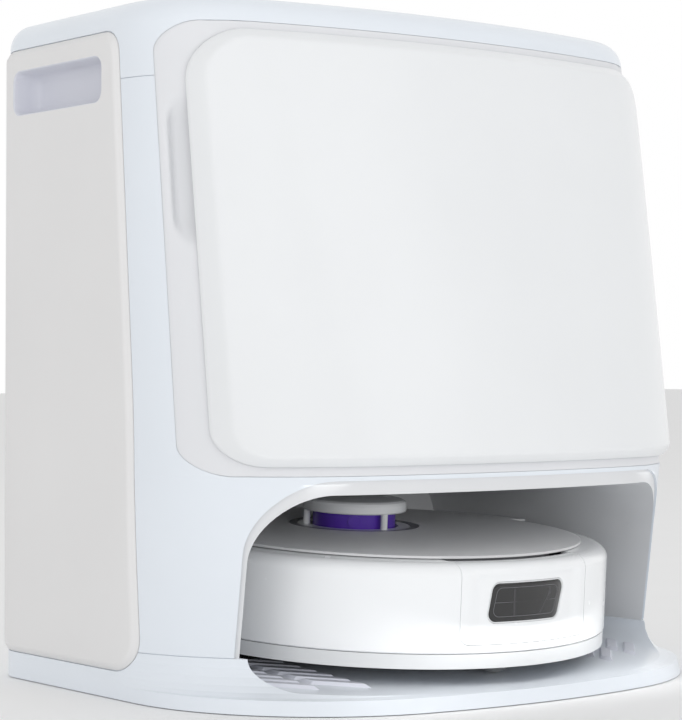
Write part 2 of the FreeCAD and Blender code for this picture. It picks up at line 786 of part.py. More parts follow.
def shell_profile():
    """Outer wall, rounded shoulder and flange under the deck, as radius and height."""
    inner = ROBOT_R - 3.0
    outline = [(inner, SEAM_Z), (ROBOT_R - 0.8, SEAM_Z), (ROBOT_R, SEAM_Z + 0.8), (ROBOT_R, SHOULDER_Z)]
    rise = FLANGE_Z - SHOULDER_Z
    for i in range(1, 9):
        angle = math.radians(90 * i / 9)
        outline.append((ROBOT_R - 9 * (1 - math.cos(angle)), SHOULDER_Z + (rise - 0.6) * math.sin(angle)))
    outline += [(ROBOT_R - 9, FLANGE_Z - 0.5), (122, FLANGE_Z), (122, FLANGE_Z - 2.0)]
    outline += [(ROBOT_R - 9, FLANGE_Z - 2.4), (inner, SHOULDER_Z)]
    return outline


def bumper_shell():
    """Front bumper: a half ring that moves back when the robot touches something."""
    ring = revolved(shell_profile()).common(box(-200, 200, -200, BUMPER_END_Y, 0, 200))
    return tilted(ring.cut(sensor_outline(0.3)))


def sensor_outline(grow=0.0):
    """The sensor panel in front elevation: it runs up over the shoulder to the deck."""
    half = SENSOR_HALF + grow
    corners = rectangle(-half, half, SENSOR_LOW - grow, 120)
    return front_prism(corners, [6 + grow, 6 + grow, 0, 0], y0=-200, y1=-100)


def window_outline(grow=0.0):
    """The camera window in front elevation, with sides that lean."""
    corners = [(-33.4 - grow, 55.3 - grow), (23.0 + grow, 55.3 - grow),
               (29.7 + grow, 80.4 + grow), (-29.4 - grow, 80.4 + grow)]
    return front_prism(corners, [5.9 + grow] * 4, y0=-200, y1=-100)


def sensor_bezel():
    """White front panel of the bumper, round the camera window."""
    ring = revolved(shell_profile()).common(sensor_outline())
    return tilted(ring.cut(window_outline(0.1)))


def camera_window():
    """Dark window with the camera and the line laser behind it."""
    lens = tube(0, 0, 50, ROBOT_R - 1.4, ROBOT_R - 5.4, 40)
    return tilted(lens.common(window_outline()))


def robot_rear_shell():
    ring = revolved(shell_profile()).common(box(-200, 200, SHELL_START_Y, 200, 0, 200))
    for x in (-34, 34):
        ring = ring.cut(box(x - 10, x + 10, 100, 200, 48, 66))
    return tilted(ring)


def charge_plates():
    ring = tube(0, 0, 48.2, ROBOT_R - 0.4, ROBOT_R - 2.8, 17.6)
    plates = [ring.common(box(x - 9.8, x + 9.8, 100, 200, 0, 100)) for x in (-34, 34)]
    return tilted(group(plates))


def deck_plate():
    """Lift-off top cover, crowned, with a hole for the turret and a step where the bumper ends."""
    outline = [(0, DECK_LOW), (DECK_REAR_R, DECK_LOW), (DECK_REAR_R, DECK_LOW + 0.9)]
    for i in range(8, -1, -1):
        r = DECK_REAR_R * i / 9
        outline.append((r, DECK_CROWN - (DECK_CROWN - DECK_LOW - 1.4) * (r / DECK_REAR_R) ** 2))
    disc = revolved(outline)
    front = tube(0, 0, 80, 200, DECK_FRONT_R, 40).common(box(-200, 200, -200, 18.6, 0, 200))
    disc = disc.cut(front).cut(rod(0, TURRET_Y, 80, TURRET_BASE_R + 0.6, 40))
    return tilted(disc)


def lidar_base():
    """Dark dish round the scanner, with a floor below it."""
    dish = tube(0, TURRET_Y, FRAME_TOP, TURRET_BASE_R, 38.0, DISH_TOP - FRAME_TOP)
    floor = rod(0, TURRET_Y, FRAME_TOP, TURRET_BASE_R, 1.2).cut(rod(0, TURRET_Y, 80, 5.2, 30))
    return tilted(fuse([dish, floor]))


def lidar_guard():
    """White foot ring, three posts and the cap over the scanner."""
    foot = tube(0, TURRET_Y, FRAME_TOP + 1.2, 37.6, 29.4, DISH_TOP - 0.2 - FRAME_TOP - 1.2)
    cap_low = TURRET_CAP_LOW
    profile = [(0, cap_low), (TURRET_CAP_R - 0.8, cap_low), (TURRET_CAP_R, cap_low + 0.8)]
    profile += [(TURRET_CAP_R, cap_low + 5.0), (TURRET_CAP_R - 0.7, cap_low + 6.8)]
    profile += [(TURRET_CAP_R - 2.6, cap_low + 7.8), (TURRET_CAP_R - 6, cap_low + 8.1), (0, cap_low + 8.3)]
    cap = revolved(profile)
    cap.translate(V(0, TURRET_Y, 0))
    posts = []
    for angle in (-90, 30, 150):
        a = math.radians(angle)
        x, y = POST_REACH * math.cos(a), TURRET_Y + POST_REACH * math.sin(a)
        posts.append(rod(x, y, DISH_TOP - 1, 2.3, cap_low - DISH_TOP + 2))
    return tilted(fuse([foot, cap] + posts))


def lidar_drum():
    """Scanner head that spins under the cap."""
    drum = rod(0, TURRET_Y, 90.4, DRUM_R, TURRET_CAP_LOW - 0.6 - 90.4)
    lens_angle = math.radians(-128)
    lens = rod(
        20 * math.cos(lens_angle), TURRET_Y + 20 * math.sin(lens_angle), 99.0, 4.0, 8.2,
        (math.cos(lens_angle), math.sin(lens_angle), 0),
    )
    spindle = rod(0, TURRET_Y, 84, 5.1, 8.4)
    return tilted(fuse([drum, lens, spindle]))


def robot_battery():
    return tilted(box(-80, 80, -20, 28, 36, 58))


def robot_dustbin():
    """Hollow dust box under the front of the deck."""
    bin_box = plan_prism(rectangle(-54, 54, -102, -39), [8] * 4, 57.0, 91.6)
    inside = plan_prism(rectangle(-52, 52, -100, -41), [6] * 4, 59.0, 89.6)
    return tilted(bin_box.cut(inside))


def robot_fan():
    scroll = rod(62, -2, 60, 24, 22)
    return tilted(scroll)


def robot_board():
    return tilted(fuse([box(-80, 24, -24, 26, 66, 67.6), box(-60, -30, -10, 15, 67.6, 71)]))


def mop_drive():
    """Gearbox and motors that turn the two mop spindles."""
    case = box(-74, 74, 64, 100, 34.2, 60)
    holes = [rod(side * MOP_X, MOP_Y, 30, 6.6, 14) for side in (-1, 1)]
    return tilted(case.cut(fuse(holes)))


def mop(side):
    """Round mop pad with its holder and the spindle that drives it."""
    pad = rod(side * MOP_X, MOP_Y, GROUND_Z + 0.2, MOP_R, 5.2)
    plate = rod(side * MOP_X, MOP_Y, GROUND_Z + 5.4, MOP_R - 4, 2.6)
    spindle = rod(side * MOP_X, MOP_Y, GROUND_Z + 8.0, 6.4, 14.0)
    return tilted(fuse([pad, plate, spindle]))


def wheel(side):
    """Drive wheel with a treaded tyre."""
    z = GROUND_Z + WHEEL_R + 0.1
    x = side * WHEEL_X - WHEEL_WIDTH / 2
    body = rod(x, 0, z, WHEEL_R, WHEEL_WIDTH, (1, 0, 0))
    body = body.cut(rod(side * WHEEL_X - 10, 0, z, 3.05, 20, (1, 0, 0)))
    for i in range(24):
        angle = math.radians(i * 15)
        groove = box(x - 1, x + WHEEL_WIDTH + 1, -1.1, 1.1, WHEEL_R - 1.5, WHEEL_R + 2)
        groove.rotate(V(0, 0, 0), V(1, 0, 0), math.degrees(angle))
        groove.translate(V(0, 0, z))
        body = body.cut(groove)
    return tilted(body)


def wheel_arm(side):
    """Sprung arm with the wheel's axle, on the inner side of the wheel."""
    z = GROUND_Z + WHEEL_R + 0.1
    inner = side * (WHEEL_X - 12.6)
    x0, x1 = sorted((inner, inner + side * 2.8))
    plate = box(x0, x1, ARM_PIVOT_Y - 6, 8, z - 6, z + 6)
    reach = WHEEL_WIDTH / 2 + 12.6 - 1
    axle = rod(inner, 0, z, 3.0, reach, (side, 0, 0))
    pivot = rod(inner, ARM_PIVOT_Y, z, 6.0, 2.8, (side, 0, 0))
    hole = rod(inner - side, ARM_PIVOT_Y, z, 2.05, 5, (side, 0, 0))
    return tilted(fuse([plate, axle, pivot]).cut(hole))


def arm_pin(side):
    """Fixed pin on a post of the chassis that a wheel arm swings on."""
    z = GROUND_Z + WHEEL_R + 0.1
    pin = rod(side * (WHEEL_X - 18), ARM_PIVOT_Y, z, 2.0, 9.5, (side, 0, 0))
    x0, x1 = sorted((side * 89.5, side * 93.5))
    return pin.fuse(box(x0, x1, ARM_PIVOT_Y - 4, ARM_PIVOT_Y + 4, SKIRT_LOW + 4, z + 6))


def main_brush():
    """Roller with rubber blades."""
    z = GROUND_Z + BRUSH_R + 0.3
    core = rod(-BRUSH_HALF, BRUSH_Y, z, 8, 2 * BRUSH_HALF, (1, 0, 0))
    blades = []
    for i in range(6):
        blade = box(2 - BRUSH_HALF, BRUSH_HALF - 2, -1.1, 1.1, 6, BRUSH_R)
        blade.rotate(V(0, 0, 0), V(1, 0, 0), i * 60)
        blade.translate(V(0, BRUSH_Y, z))
        blades.append(blade)
    return tilted(fuse([core] + blades))


def side_brush():
    """Hub with three bristle arms."""
    hub = rod(SIDE_BRUSH_X, SIDE_BRUSH_Y, 23.4, 9, 4.6)
    shaft = rod(SIDE_BRUSH_X, SIDE_BRUSH_Y, 28, 4.6, 9)
    arms = []
    for i in range(3):
        arm = box(6, 24, -2.2, 2.2, 23.8, 26.0)
        arm.rotate(V(0, 0, 0), V(0, 0, 1), i * 120 + 20)
        arm.translate(V(SIDE_BRUSH_X, SIDE_BRUSH_Y, 0))
        arms.append(arm)
    return tilted(fuse([hub, shaft] + arms))


def caster_ball():
    """Front support ball on the pin that turns in the chassis."""
    ball = Part.makeSphere(CASTER_R, V(0, CASTER_Y, GROUND_Z + CASTER_R + 0.1))
    return tilted(ball.fuse(caster_pin(CASTER_PIN_R, CASTER_R + 3)))


def build():
    os.makedirs("parts", exist_ok=True)
    nodes = {
        "base_tray": base_tray,
        "wash_tray": wash_tray,
        "traction_ribs": traction_ribs,
        "housing_shell": housing_shell,
        "top_cap": top_cap,
        "front_bezel": front_bezel,
        "bag_bay": bag_bay,
        "dust_bag": dust_bag,
        "bag_holder": bag_holder,
        "dust_duct": dust_duct,
        "suction_motor": suction_motor,
        "machine_floor": machine_floor,
        "drying_fan": drying_fan,
        "water_pumps": water_pumps,
        "power_board": power_board,
        "garage_liner": garage_liner,
        "charging_contacts": charging_contacts,
        "beacon_window": beacon_window,
        "rear_panel": rear_panel,
        "rear_screws": rear_screws,
        "power_inlet": power_inlet,
        "station_feet": station_feet,
        "hinge_brackets": hinge_brackets,
        "door_skin": door_skin,
        "door_liner": door_liner,
        "hinge_pins": hinge_pins,
        "robot_chassis": robot_chassis,
        "robot_skirt": robot_skirt,
        "robot_frame": robot_frame,
        "robot_rear_shell": robot_rear_shell,
        "charge_plates": charge_plates,
        "robot_battery": robot_battery,
        "robot_dustbin": robot_dustbin,
        "robot_fan": robot_fan,
        "robot_board": robot_board,
        "mop_drive": mop_drive,
        "lidar_base": lidar_base,
        "lidar_guard": lidar_guard,
        "lidar_drum": lidar_drum,
        "deck_plate": deck_plate,
        "bumper_shell": bumper_shell,
        "sensor_bezel": sensor_bezel,
        "camera_window": camera_window,
        "main_brush": main_brush,
        "side_brush": side_brush,
        "caster_ball": caster_ball,
    }
    for name, make in nodes.items():
        save(name, make())
    for part, make in (("side_panel", side_panel), ("handle_cup", handle_cup), ("tank_shell", tank_shell)):
        shape = make()
        save("left_" + part, shape)
        save("right_" + part, mirrored(shape))
    for part, make in (("wheel", wheel), ("wheel_arm", wheel_arm), ("mop", mop)):
        save("left_" + part, make(-1))
        save("right_" + part, make(1))
    lid = tank_lid()
    save("left_tank_lid", lid)
    save("right_tank_lid", mirrored(lid))


build()
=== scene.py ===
import json
import math

import bmesh
import bpy
import numpy as np
from mathutils import Matrix, Vector


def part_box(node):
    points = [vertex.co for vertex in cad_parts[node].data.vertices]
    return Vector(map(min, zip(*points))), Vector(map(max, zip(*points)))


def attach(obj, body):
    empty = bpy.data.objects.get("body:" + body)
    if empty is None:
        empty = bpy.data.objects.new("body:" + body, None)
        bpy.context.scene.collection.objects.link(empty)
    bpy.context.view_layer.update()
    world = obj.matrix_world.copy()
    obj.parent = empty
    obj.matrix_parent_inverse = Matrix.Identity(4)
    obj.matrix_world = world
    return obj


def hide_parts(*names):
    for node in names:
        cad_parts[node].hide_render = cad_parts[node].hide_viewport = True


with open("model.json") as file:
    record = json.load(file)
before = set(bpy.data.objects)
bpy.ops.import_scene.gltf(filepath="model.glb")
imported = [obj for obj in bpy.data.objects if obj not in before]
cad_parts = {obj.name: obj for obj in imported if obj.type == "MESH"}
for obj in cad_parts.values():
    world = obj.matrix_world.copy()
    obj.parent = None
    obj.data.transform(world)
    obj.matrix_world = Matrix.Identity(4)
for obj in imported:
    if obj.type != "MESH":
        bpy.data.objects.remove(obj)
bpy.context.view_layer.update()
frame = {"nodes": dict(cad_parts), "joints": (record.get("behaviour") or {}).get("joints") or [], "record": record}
nodes = frame["nodes"]
MM = 0.001

# The robot stands nose down on its ramp: TILT about the skirt's lower edge.
TILT = math.radians(3.42)
TILT_Z = 28.8


# ---------------------------------------------------------------- materials
PLASTIC_IOR = 1.46
COAT_ROUGHNESS = 0.12
STREAKS_ALONG_Z = (1, 1, 30)


def new_material(name, color, roughness, metallic=0.0, coat=0.0):
    """A Principled material with no texture yet. Returns the material, its nodes and links."""
    made = bpy.data.materials.new(name)
    made.use_nodes = True
    tree = made.node_tree
    shader = tree.nodes["Principled BSDF"]
    shader.inputs["Base Color"].default_value = (*color, 1)
    shader.inputs["Roughness"].default_value = roughness
    shader.inputs["Metallic"].default_value = metallic
    shader.inputs["Coat Weight"].default_value = coat
    shader.inputs["Coat Roughness"].default_value = COAT_ROUGHNESS
    shader.inputs["IOR"].default_value = PLASTIC_IOR
    return made, tree, shader


def noise_node(tree, scale, detail=3.0, stretch=(1, 1, 1)):
    place = tree.nodes.new("ShaderNodeTexCoord")
    turn = tree.nodes.new("ShaderNodeMapping")
    turn.inputs["Scale"].default_value = stretch
    noise = tree.nodes.new("ShaderNodeTexNoise")
    noise.inputs["Scale"].default_value = scale
    noise.inputs["Detail"].default_value = detail
    tree.links.new(place.outputs["Object"], turn.inputs["Vector"])
    tree.links.new(turn.outputs["Vector"], noise.inputs["Vector"])
    return noise


def ranged(tree, source, low, high):
    """Maps a 0 to 1 texture to a range."""
    spread = tree.nodes.new("ShaderNodeMapRange")
    spread.inputs["To Min"].default_value = low
    spread.inputs["To Max"].default_value = high
    tree.links.new(source, spread.inputs["Value"])
    return spread.outputs["Result"]


def shaded(tree, source, color, change):
    """Colour that drifts between two tints of the base colour."""
    ramp = tree.nodes.new("ShaderNodeValToRGB")
    ramp.color_ramp.elements[0].position = 0.3
    ramp.color_ramp.elements[1].position = 0.7
    ramp.color_ramp.elements[0].color = (*[c * (1 - change) for c in color], 1)
    ramp.color_ramp.elements[1].color = (*[min(1, c * (1 + change)) for c in color], 1)
    tree.links.new(source, ramp.inputs["Fac"])
    return ramp.outputs["Color"]


def bumped(tree, shader, source, strength, distance):
    bump = tree.nodes.new("ShaderNodeBump")
    bump.inputs["Strength"].default_value = strength
    bump.inputs["Distance"].default_value = distance
    tree.links.new(source, bump.inputs["Height"])
    tree.links.new(bump.outputs["Normal"], shader.inputs["Normal"])


def plastic(name, color, roughness, grain=0.15, grain_scale=2600.0, coat=0.0, change=0.012):
    """Moulded plastic: a fine grain, and colour and gloss that drift a little."""
    made, tree, shader = new_material(name, color, roughness, coat=coat)
    drift = noise_node(tree, 9.0)
    tree.links.new(shaded(tree, drift.outputs["Fac"], color, change), shader.inputs["Base Color"])
    wear = noise_node(tree, 60.0, 5.0)
    gloss = ranged(tree, wear.outputs["Fac"], roughness * 0.9, roughness * 1.12)
    tree.links.new(gloss, shader.inputs["Roughness"])
    fine = noise_node(tree, grain_scale, 2.0)
    bumped(tree, shader, fine.outputs["Fac"], grain, 0.00004)
    return made


def metal(name, color, roughness):
    """Brushed metal: streaks along one direction."""
    made, tree, shader = new_material(name, color, roughness, metallic=1.0)
    streaks = noise_node(tree, 140.0, 5.0, STREAKS_ALONG_Z)
    tree.links.new(shaded(tree, streaks.outputs["Fac"], color, 0.08), shader.inputs["Base Color"])
    gloss = ranged(tree, streaks.outputs["Fac"], roughness * 0.7, roughness * 1.3)
    tree.links.new(gloss, shader.inputs["Roughness"])
    bumped(tree, shader, streaks.outputs["Fac"], 0.15, 0.00005)
    return made


def fabric(name, color, pile_scale, strength):
    """Cloth: a fibrous pile with soft sheen."""
    made, tree, shader = new_material(name, color, 0.9)
    shader.inputs["Sheen Weight"].default_value = 0.35
    pile = noise_node(tree, pile_scale, 6.0)
    tree.links.new(shaded(tree, pile.outputs["Fac"], color, 0.16), shader.inputs["Base Color"])
    bumped(tree, shader, pile.outputs["Fac"], strength, 0.0006)
    return made


def clear_plastic(name, color):
    made, tree, shader = new_material(name, color, 0.12)
    shader.inputs["Transmission Weight"].default_value = 0.85
    drift = noise_node(tree, 30.0)
    tree.links.new(shaded(tree, drift.outputs["Fac"], color, 0.03), shader.inputs["Base Color"])
    tree.links.new(ranged(tree, drift.outputs["Fac"], 0.08, 0.18), shader.inputs["Roughness"])
    return made


MATERIALS = {
    "shell_white": plastic("shell_white", (0.80, 0.845, 0.90), 0.34, coat=0.25),
    "bezel_matte": plastic("bezel_matte", (0.775, 0.785, 0.81), 0.5, 0.3),
    "door_pearl": plastic("door_pearl", (0.83, 0.845, 0.86), 0.3, 0.08, coat=0.35),
    "panel_warm": plastic("panel_warm", (0.79, 0.785, 0.785), 0.5, 0.3),
    "cup_grey": plastic("cup_grey", (0.72, 0.73, 0.79), 0.42),
    "inner_grey": plastic("inner_grey", (0.50, 0.51, 0.54), 0.55, 0.35),
    "tray_grey": plastic("tray_grey", (0.74, 0.755, 0.83), 0.36, coat=0.2),
    "liner_grey": plastic("liner_grey", (0.74, 0.75, 0.765), 0.5, 0.25),
    "robot_white": plastic("robot_white", (0.90, 0.915, 0.93), 0.26, 0.06, coat=0.4),
    "skirt_grey": plastic("skirt_grey", (0.72, 0.735, 0.745), 0.5, 0.25),
    "deck_grey": plastic("deck_grey", (0.75, 0.755, 0.765), 0.48, 0.3),
    "drum_violet": plastic("drum_violet", (0.115, 0.04, 0.47), 0.3, 0.1, coat=0.3, change=0.06),
    "window_black": plastic("window_black", (0.004, 0.004, 0.005), 0.06, 0.01, coat=1.0, change=0.3),
    # Dark grey film, paler than the glass: a painted reflection on the camera window, not a sensor part.
    "painted_reflection_film": plastic("painted_reflection_film", (0.045, 0.045, 0.05), 0.16, 0.02, coat=0.6, change=0.4),
    "ring_dark": plastic("ring_dark", (0.16, 0.16, 0.175), 0.42),
    "black_rubber": plastic("black_rubber", (0.022, 0.022, 0.024), 0.75, 0.5, 900.0, change=0.15),
    "steel": metal("steel", (0.62, 0.61, 0.59), 0.3),
    "bag_paper": fabric("bag_paper", (0.70, 0.68, 0.63), 420.0, 0.4),
    "tank_clear": clear_plastic("tank_clear", (0.72, 0.78, 0.88)),
    "dark_plastic": plastic("dark_plastic", (0.03, 0.03, 0.033), 0.5, 0.4, 1500.0, change=0.12),
    "board_green": plastic("board_green", (0.012, 0.11, 0.04), 0.35, 0.3, 700.0, change=0.2),
    "mop_fabric": fabric("mop_fabric", (0.34, 0.36, 0.43), 520.0, 0.9),
}


def dress_cad_nodes():
    for row in frame["record"]["subparts"]:
        mesh = nodes[row["node"]].data
        mesh.materials.clear()
        mesh.materials.append(MATERIALS[row["material_slot"]])


# ---------------------------------------------------------------- stage
VIEW_FROM = (-0.94004, -1.16227, 0.20109)
VIEW_WAY = (0.6142, 0.7891, 0)
LENS_MM = 114.06
LENS_RISE = 0.0094
FLOOR_REACH = 14.0
FRONT_SKY, BACK_SKY = 0.66, 1.0
# name, place, aim, width, height, power in watts
LIGHTS = (
    ("key", (0.85, -2.05, 1.0), (0, 0, 0.22), 0.8, 1.1, 1.6),
    ("low_front", (-0.5, -2.6, 0.30), (0, 0, 0.09), 2.4, 0.35, 16.0),
    ("left_fill", (-2.4, -0.7, 0.8), (-0.2, 0, 0.2), 1.4, 1.6, 7.0),
    ("top", (0.0, 0.2, 2.6), (0, 0, 0.2), 3.4, 3.4, 5.0),
    ("garage_fill", (0.0, 0.0, 0.1325), (0, 0, 0), 0.29, 0.23, 0.15),
    ("ramp_fill", (0.0, -0.150, 0.040), (0, -0.125, 0), 0.26, 0.012, 0.02),
)


def camera():
    data = bpy.data.cameras.new("photo_view")
    data.lens = LENS_MM
    data.sensor_width = 36.0
    data.shift_y = LENS_RISE
    data.clip_end = 50
    made = bpy.data.objects.new("photo_view", data)
    made.location = VIEW_FROM
    made.rotation_euler = Vector(VIEW_WAY).to_track_quat("-Z", "Y").to_euler()
    bpy.context.scene.collection.objects.link(made)
    bpy.context.scene.camera = made


def area_light(name, place, aim, width, height, power):
    """Soft lamp, itself unseen. Only the key lamp shows in reflections."""
    data = bpy.data.lights.new(name, "AREA")
    data.shape = "RECTANGLE"
    data.size = width
    data.size_y = height
    data.energy = power
    made = bpy.data.objects.new(name, data)
    made.location = place
    made.rotation_euler = (Vector(aim) - Vector(place)).to_track_quat("-Z", "Y").to_euler()
    made.visible_camera = False
    made.visible_glossy = name == "key"
    bpy.context.scene.collection.objects.link(made)


def studio():
    """Pale floor, a sky that is brighter behind the object than in front, and the lamps."""
    mesh = bpy.data.meshes.new("floor")
    ways = ((-1, -1), (1, -1), (1, 1), (-1, 1))
    mesh.from_pydata([(x * FLOOR_REACH, y * FLOOR_REACH, 0) for x, y in ways], [], [(0, 1, 2, 3)])
    floor = bpy.data.objects.new("floor", mesh)
    bpy.context.scene.collection.objects.link(floor)
    mesh.materials.append(plastic("floor_paper", (0.93, 0.93, 0.93), 0.9, 0.1, 60.0, change=0.004))

    world = bpy.data.worlds.new("studio")
    world.use_nodes = True
    tree = world.node_tree
    back = tree.nodes["Background"]
    back.inputs["Color"].default_value = (1, 1, 1, 1)
    place = tree.nodes.new("ShaderNodeTexCoord")
    facing = tree.nodes.new("ShaderNodeVectorMath")
    facing.operation = "DOT_PRODUCT"
    facing.inputs[1].default_value = VIEW_WAY
    level = tree.nodes.new("ShaderNodeMapRange")
    level.inputs["From Min"].default_value = 0.1
    level.inputs["From Max"].default_value = 0.7
    level.inputs["To Min"].default_value = FRONT_SKY
    level.inputs["To Max"].default_value = BACK_SKY
    tree.links.new(place.outputs["Generated"], facing.inputs[0])
    tree.links.new(facing.outputs["Value"], level.inputs["Value"])
    tree.links.new(level.outputs["Result"], back.inputs["Strength"])
    bpy.context.scene.world = world
    bpy.context.scene.view_settings.view_transform = "Standard"

    for light in LIGHTS:
        area_light(*light)


# ---------------------------------------------------------------- the station's surface
# Plan sections of the station: height, half width, front, corner radius, radius of the bowed front.
SECTIONS = (
    (30.0, 202.0, -126.0, 140.0, 480.0),
    (137.0, 201.5, -130.0, 117.0, 555.0),
    (402.0, 200.4, -74.0, 72.0, 700.0),
    (440.0, 200.2, -66.0, 65.0, 720.0),
)
BACK_TURN_Y = 129.0
BACK_TURN_R = 30.0
OUTLINES = {}


def section_points(row, offset):
    """Right half of a plan section: the bowed front, then the corner up to the straight side."""
    half, front = row[1] + offset, row[2] - offset
    corner, radius = row[3] + offset, row[4] + offset
    cx = half - corner
    front_cy = front + radius
    cy = front_cy - math.sqrt((radius - corner) ** 2 - cx**2)
    lean = math.atan2(cx, front_cy - cy)
    bow = np.linspace(0, lean, 40)
    turn = np.linspace(lean, math.pi / 2, 60)[1:]
    xs = np.concatenate([radius * np.sin(bow), cx + corner * np.sin(turn)])
    ys = np.concatenate([front_cy - radius * np.cos(bow), cy - corner * np.cos(turn)])
    return xs, ys


def outline_at(z, offset):
    key = (round(z, 2), round(offset, 2))
    if key not in OUTLINES:
        z = max(z, SECTIONS[0][0])
        k = 0 if z < SECTIONS[1][0] else 1 if z < SECTIONS[2][0] else 2
        low, high = SECTIONS[k], SECTIONS[k + 1]
        t = (z - low[0]) / (high[0] - low[0])
        (x0, y0), (x1, y1) = section_points(low, offset), section_points(high, offset)
        OUTLINES[key] = (x0 + (x1 - x0) * t, y0 + (y1 - y0) * t)
    return OUTLINES[key]


def on_front(x, z, offset):
    xs, ys = outline_at(z, offset)
    return Vector((x, float(np.interp(abs(x), xs, ys)), z)) * MM


def on_side(y, z, offset, side):
    xs, ys = outline_at(z, offset)
    x = float(np.interp(y, ys, xs))
    if y > BACK_TURN_Y:
        turn = BACK_TURN_R + offset
        x -= turn - math.sqrt(turn**2 - (y - BACK_TURN_Y) ** 2)
    return Vector((side * x, y, z)) * MM


def tilted(x, y, z):
    """From the robot's own frame, in mm, to where it stands, in metres."""
    c, s = math.cos(TILT), math.sin(TILT)
    return Vector((x, y * c - (z - TILT_Z) * s, TILT_Z + (z - TILT_Z) * c + y * s)) * MM


# ---------------------------------------------------------------- mesh helpers
def rounded_polygon(points, radii, arc_steps=10, spacing=6.0):
    """Closed outline with rounded corners, its straight runs divided evenly."""
    count = len(points)
    corners = []
    for i in range(count):
        p, a, b = Vector(points[i]), Vector(points[i - 1]), Vector(points[(i + 1) % count])
        ua, ub = (a - p).normalized(), (b - p).normalized()
        half = ua.angle(ub) / 2
        reach = radii[i] / math.tan(half)
        centre = p + (ua + ub).normalized() * (radii[i] / math.sin(half))
        start, end = p + ua * reach, p + ub * reach
        first = math.atan2(start.y - centre.y, start.x - centre.x)
        sweep = math.atan2(end.y - centre.y, end.x - centre.x) - first
        sweep = (sweep + math.pi) % (2 * math.pi) - math.pi
        angles = [first + sweep * k / arc_steps for k in range(arc_steps + 1)]
        corners.append([centre + Vector((math.cos(t), math.sin(t))) * radii[i] for t in angles])
    outline = []
    for i in range(count):
        outline += corners[i]
        start, end = corners[i][-1], corners[(i + 1) % count][0]
        steps = max(1, round((end - start).length / spacing))
        outline += [start.lerp(end, k / steps) for k in range(1, steps)]
    return outline


def box_points(u0, u1, v0, v1):
    return [(u0, v0), (u1, v0), (u1, v1), (u0, v1)]


def even_box(u0, u1, v0, v1, radii, steps):
    """Rounded rectangle with the same number of points whatever its size."""
    outline = []
    corners = []
    places = ((u0, v0, math.pi), (u1, v0, 1.5 * math.pi), (u1, v1, 0), (u0, v1, 0.5 * math.pi))
    for (u, v, first), r in zip(places, radii):
        cu = u + r if u == u0 else u - r
        cv = v + r if v == v0 else v - r
        angles = [first + math.pi / 2 * k / 10 for k in range(11)]
        corners.append([Vector((cu + r * math.cos(t), cv + r * math.sin(t))) for t in angles])
    for i in range(4):
        outline += corners[i]
        start, end = corners[i][-1], corners[(i + 1) % 4][0]
        outline += [start.lerp(end, k / steps[i]) for k in range(1, steps[i])]
    return outline


def inset(outline, distance):
    """Moves each point of a counter-clockwise outline inwards."""
    moved = []
    for i, p in enumerate(outline):
        along = (outline[(i + 1) % len(outline)] - outline[i - 1]).normalized()
        moved.append(p + Vector((-along.y, along.x)) * distance)
    return moved


def shared_angles(centre, points):
    return sorted({round(math.atan2(p.y - centre.y, p.x - centre.x), 4) for p in points})


def along_rays(outline, centre, angles):
    """One point of the outline in each direction from the centre."""
    ways = [Vector((math.cos(a), math.sin(a))) for a in angles]
    return [centre + way * ray_radius(outline, centre, way) for way in ways]


def ray_radius(outline, centre, way):
    """Distance from the centre to a closed outline in one direction."""
    best = 0.0
    for i, p in enumerate(outline):
        q = outline[(i + 1) % len(outline)]
        along = q - p
        cross = way.x * along.y - way.y * along.x
        if abs(cross) < 1e-9:
            continue
        gap = p - centre
        far = (gap.x * along.y - gap.y * along.x) / cross
        share = (gap.x * way.y - gap.y * way.x) / cross
        if far > 0 and -1e-6 <= share <= 1 + 1e-6:
            best = max(best, far)
    return best


def towards(outline, centre, share):
    middle = Vector(centre)
    return [middle + (p - middle) * share for p in outline]


def piece(name, build, material, body, *replaced, sharp=50):
    """Makes an object from a bmesh builder, with its material, body and the CAD nodes it stands for."""
    bm = bmesh.new()
    build(bm)
    bmesh.ops.remove_doubles(bm, verts=bm.verts, dist=0.000005)
    bmesh.ops.recalc_face_normals(bm, faces=bm.faces)
    mesh = bpy.data.meshes.new(name)
    bm.to_mesh(mesh)
    bm.free()
    mesh.shade_smooth()
    mesh.set_sharp_from_angle(angle=math.radians(sharp))
    mesh.materials.append(MATERIALS[material])
    made = bpy.data.objects.new(name, mesh)
    bpy.context.scene.collection.objects.link(made)
    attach(made, body)
    if replaced:
        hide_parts(*replaced)
    return made


def add_rings(bm, rings, cap_start=False, cap_end=False, loop=False):
    """Joins rings of points, all of one length, into a surface."""
    rows = [[bm.verts.new(p) for p in ring] for ring in rings]
    if loop:
        rows.append(rows[0])
    for a, b in zip(rows, rows[1:]):
        for i in range(len(a)):
            j = (i + 1) % len(a)
            bm.faces.new((a[i], a[j], b[j], b[i]))
    for cap, row in ((cap_start, rows[0]), (cap_end, rows[-1])):
        if cap:
            bm.faces.new(row)


def add_lathe(bm, profile, centre, steps=96, wave=None):
    """Turns a profile (radius, z) about the robot's vertical through centre."""
    rings = []
    for r, z in profile:
        ring = []
        for i in range(steps):
            a = 2 * math.pi * i / steps
            lift = wave(r, a) if wave else 0.0
            ring.append(tilted(centre[0] + r * math.cos(a), centre[1] + r * math.sin(a), z + lift))
        rings.append(ring)
    add_rings(bm, rings, cap_start=True, cap_end=True)


def smooth_step(value, low, high):
    t = max(0.0, min(1.0, (value - low) / (high - low)))
    return t * t * (3 - 2 * t)


def settled(made):
    """Replaces an object's mesh with what its modifiers give, and drops them."""
    graph = bpy.context.evaluated_depsgraph_get()
    mesh = bpy.data.meshes.new_from_object(made.evaluated_get(graph))
    made.modifiers.clear()
    made.data = mesh
    return made


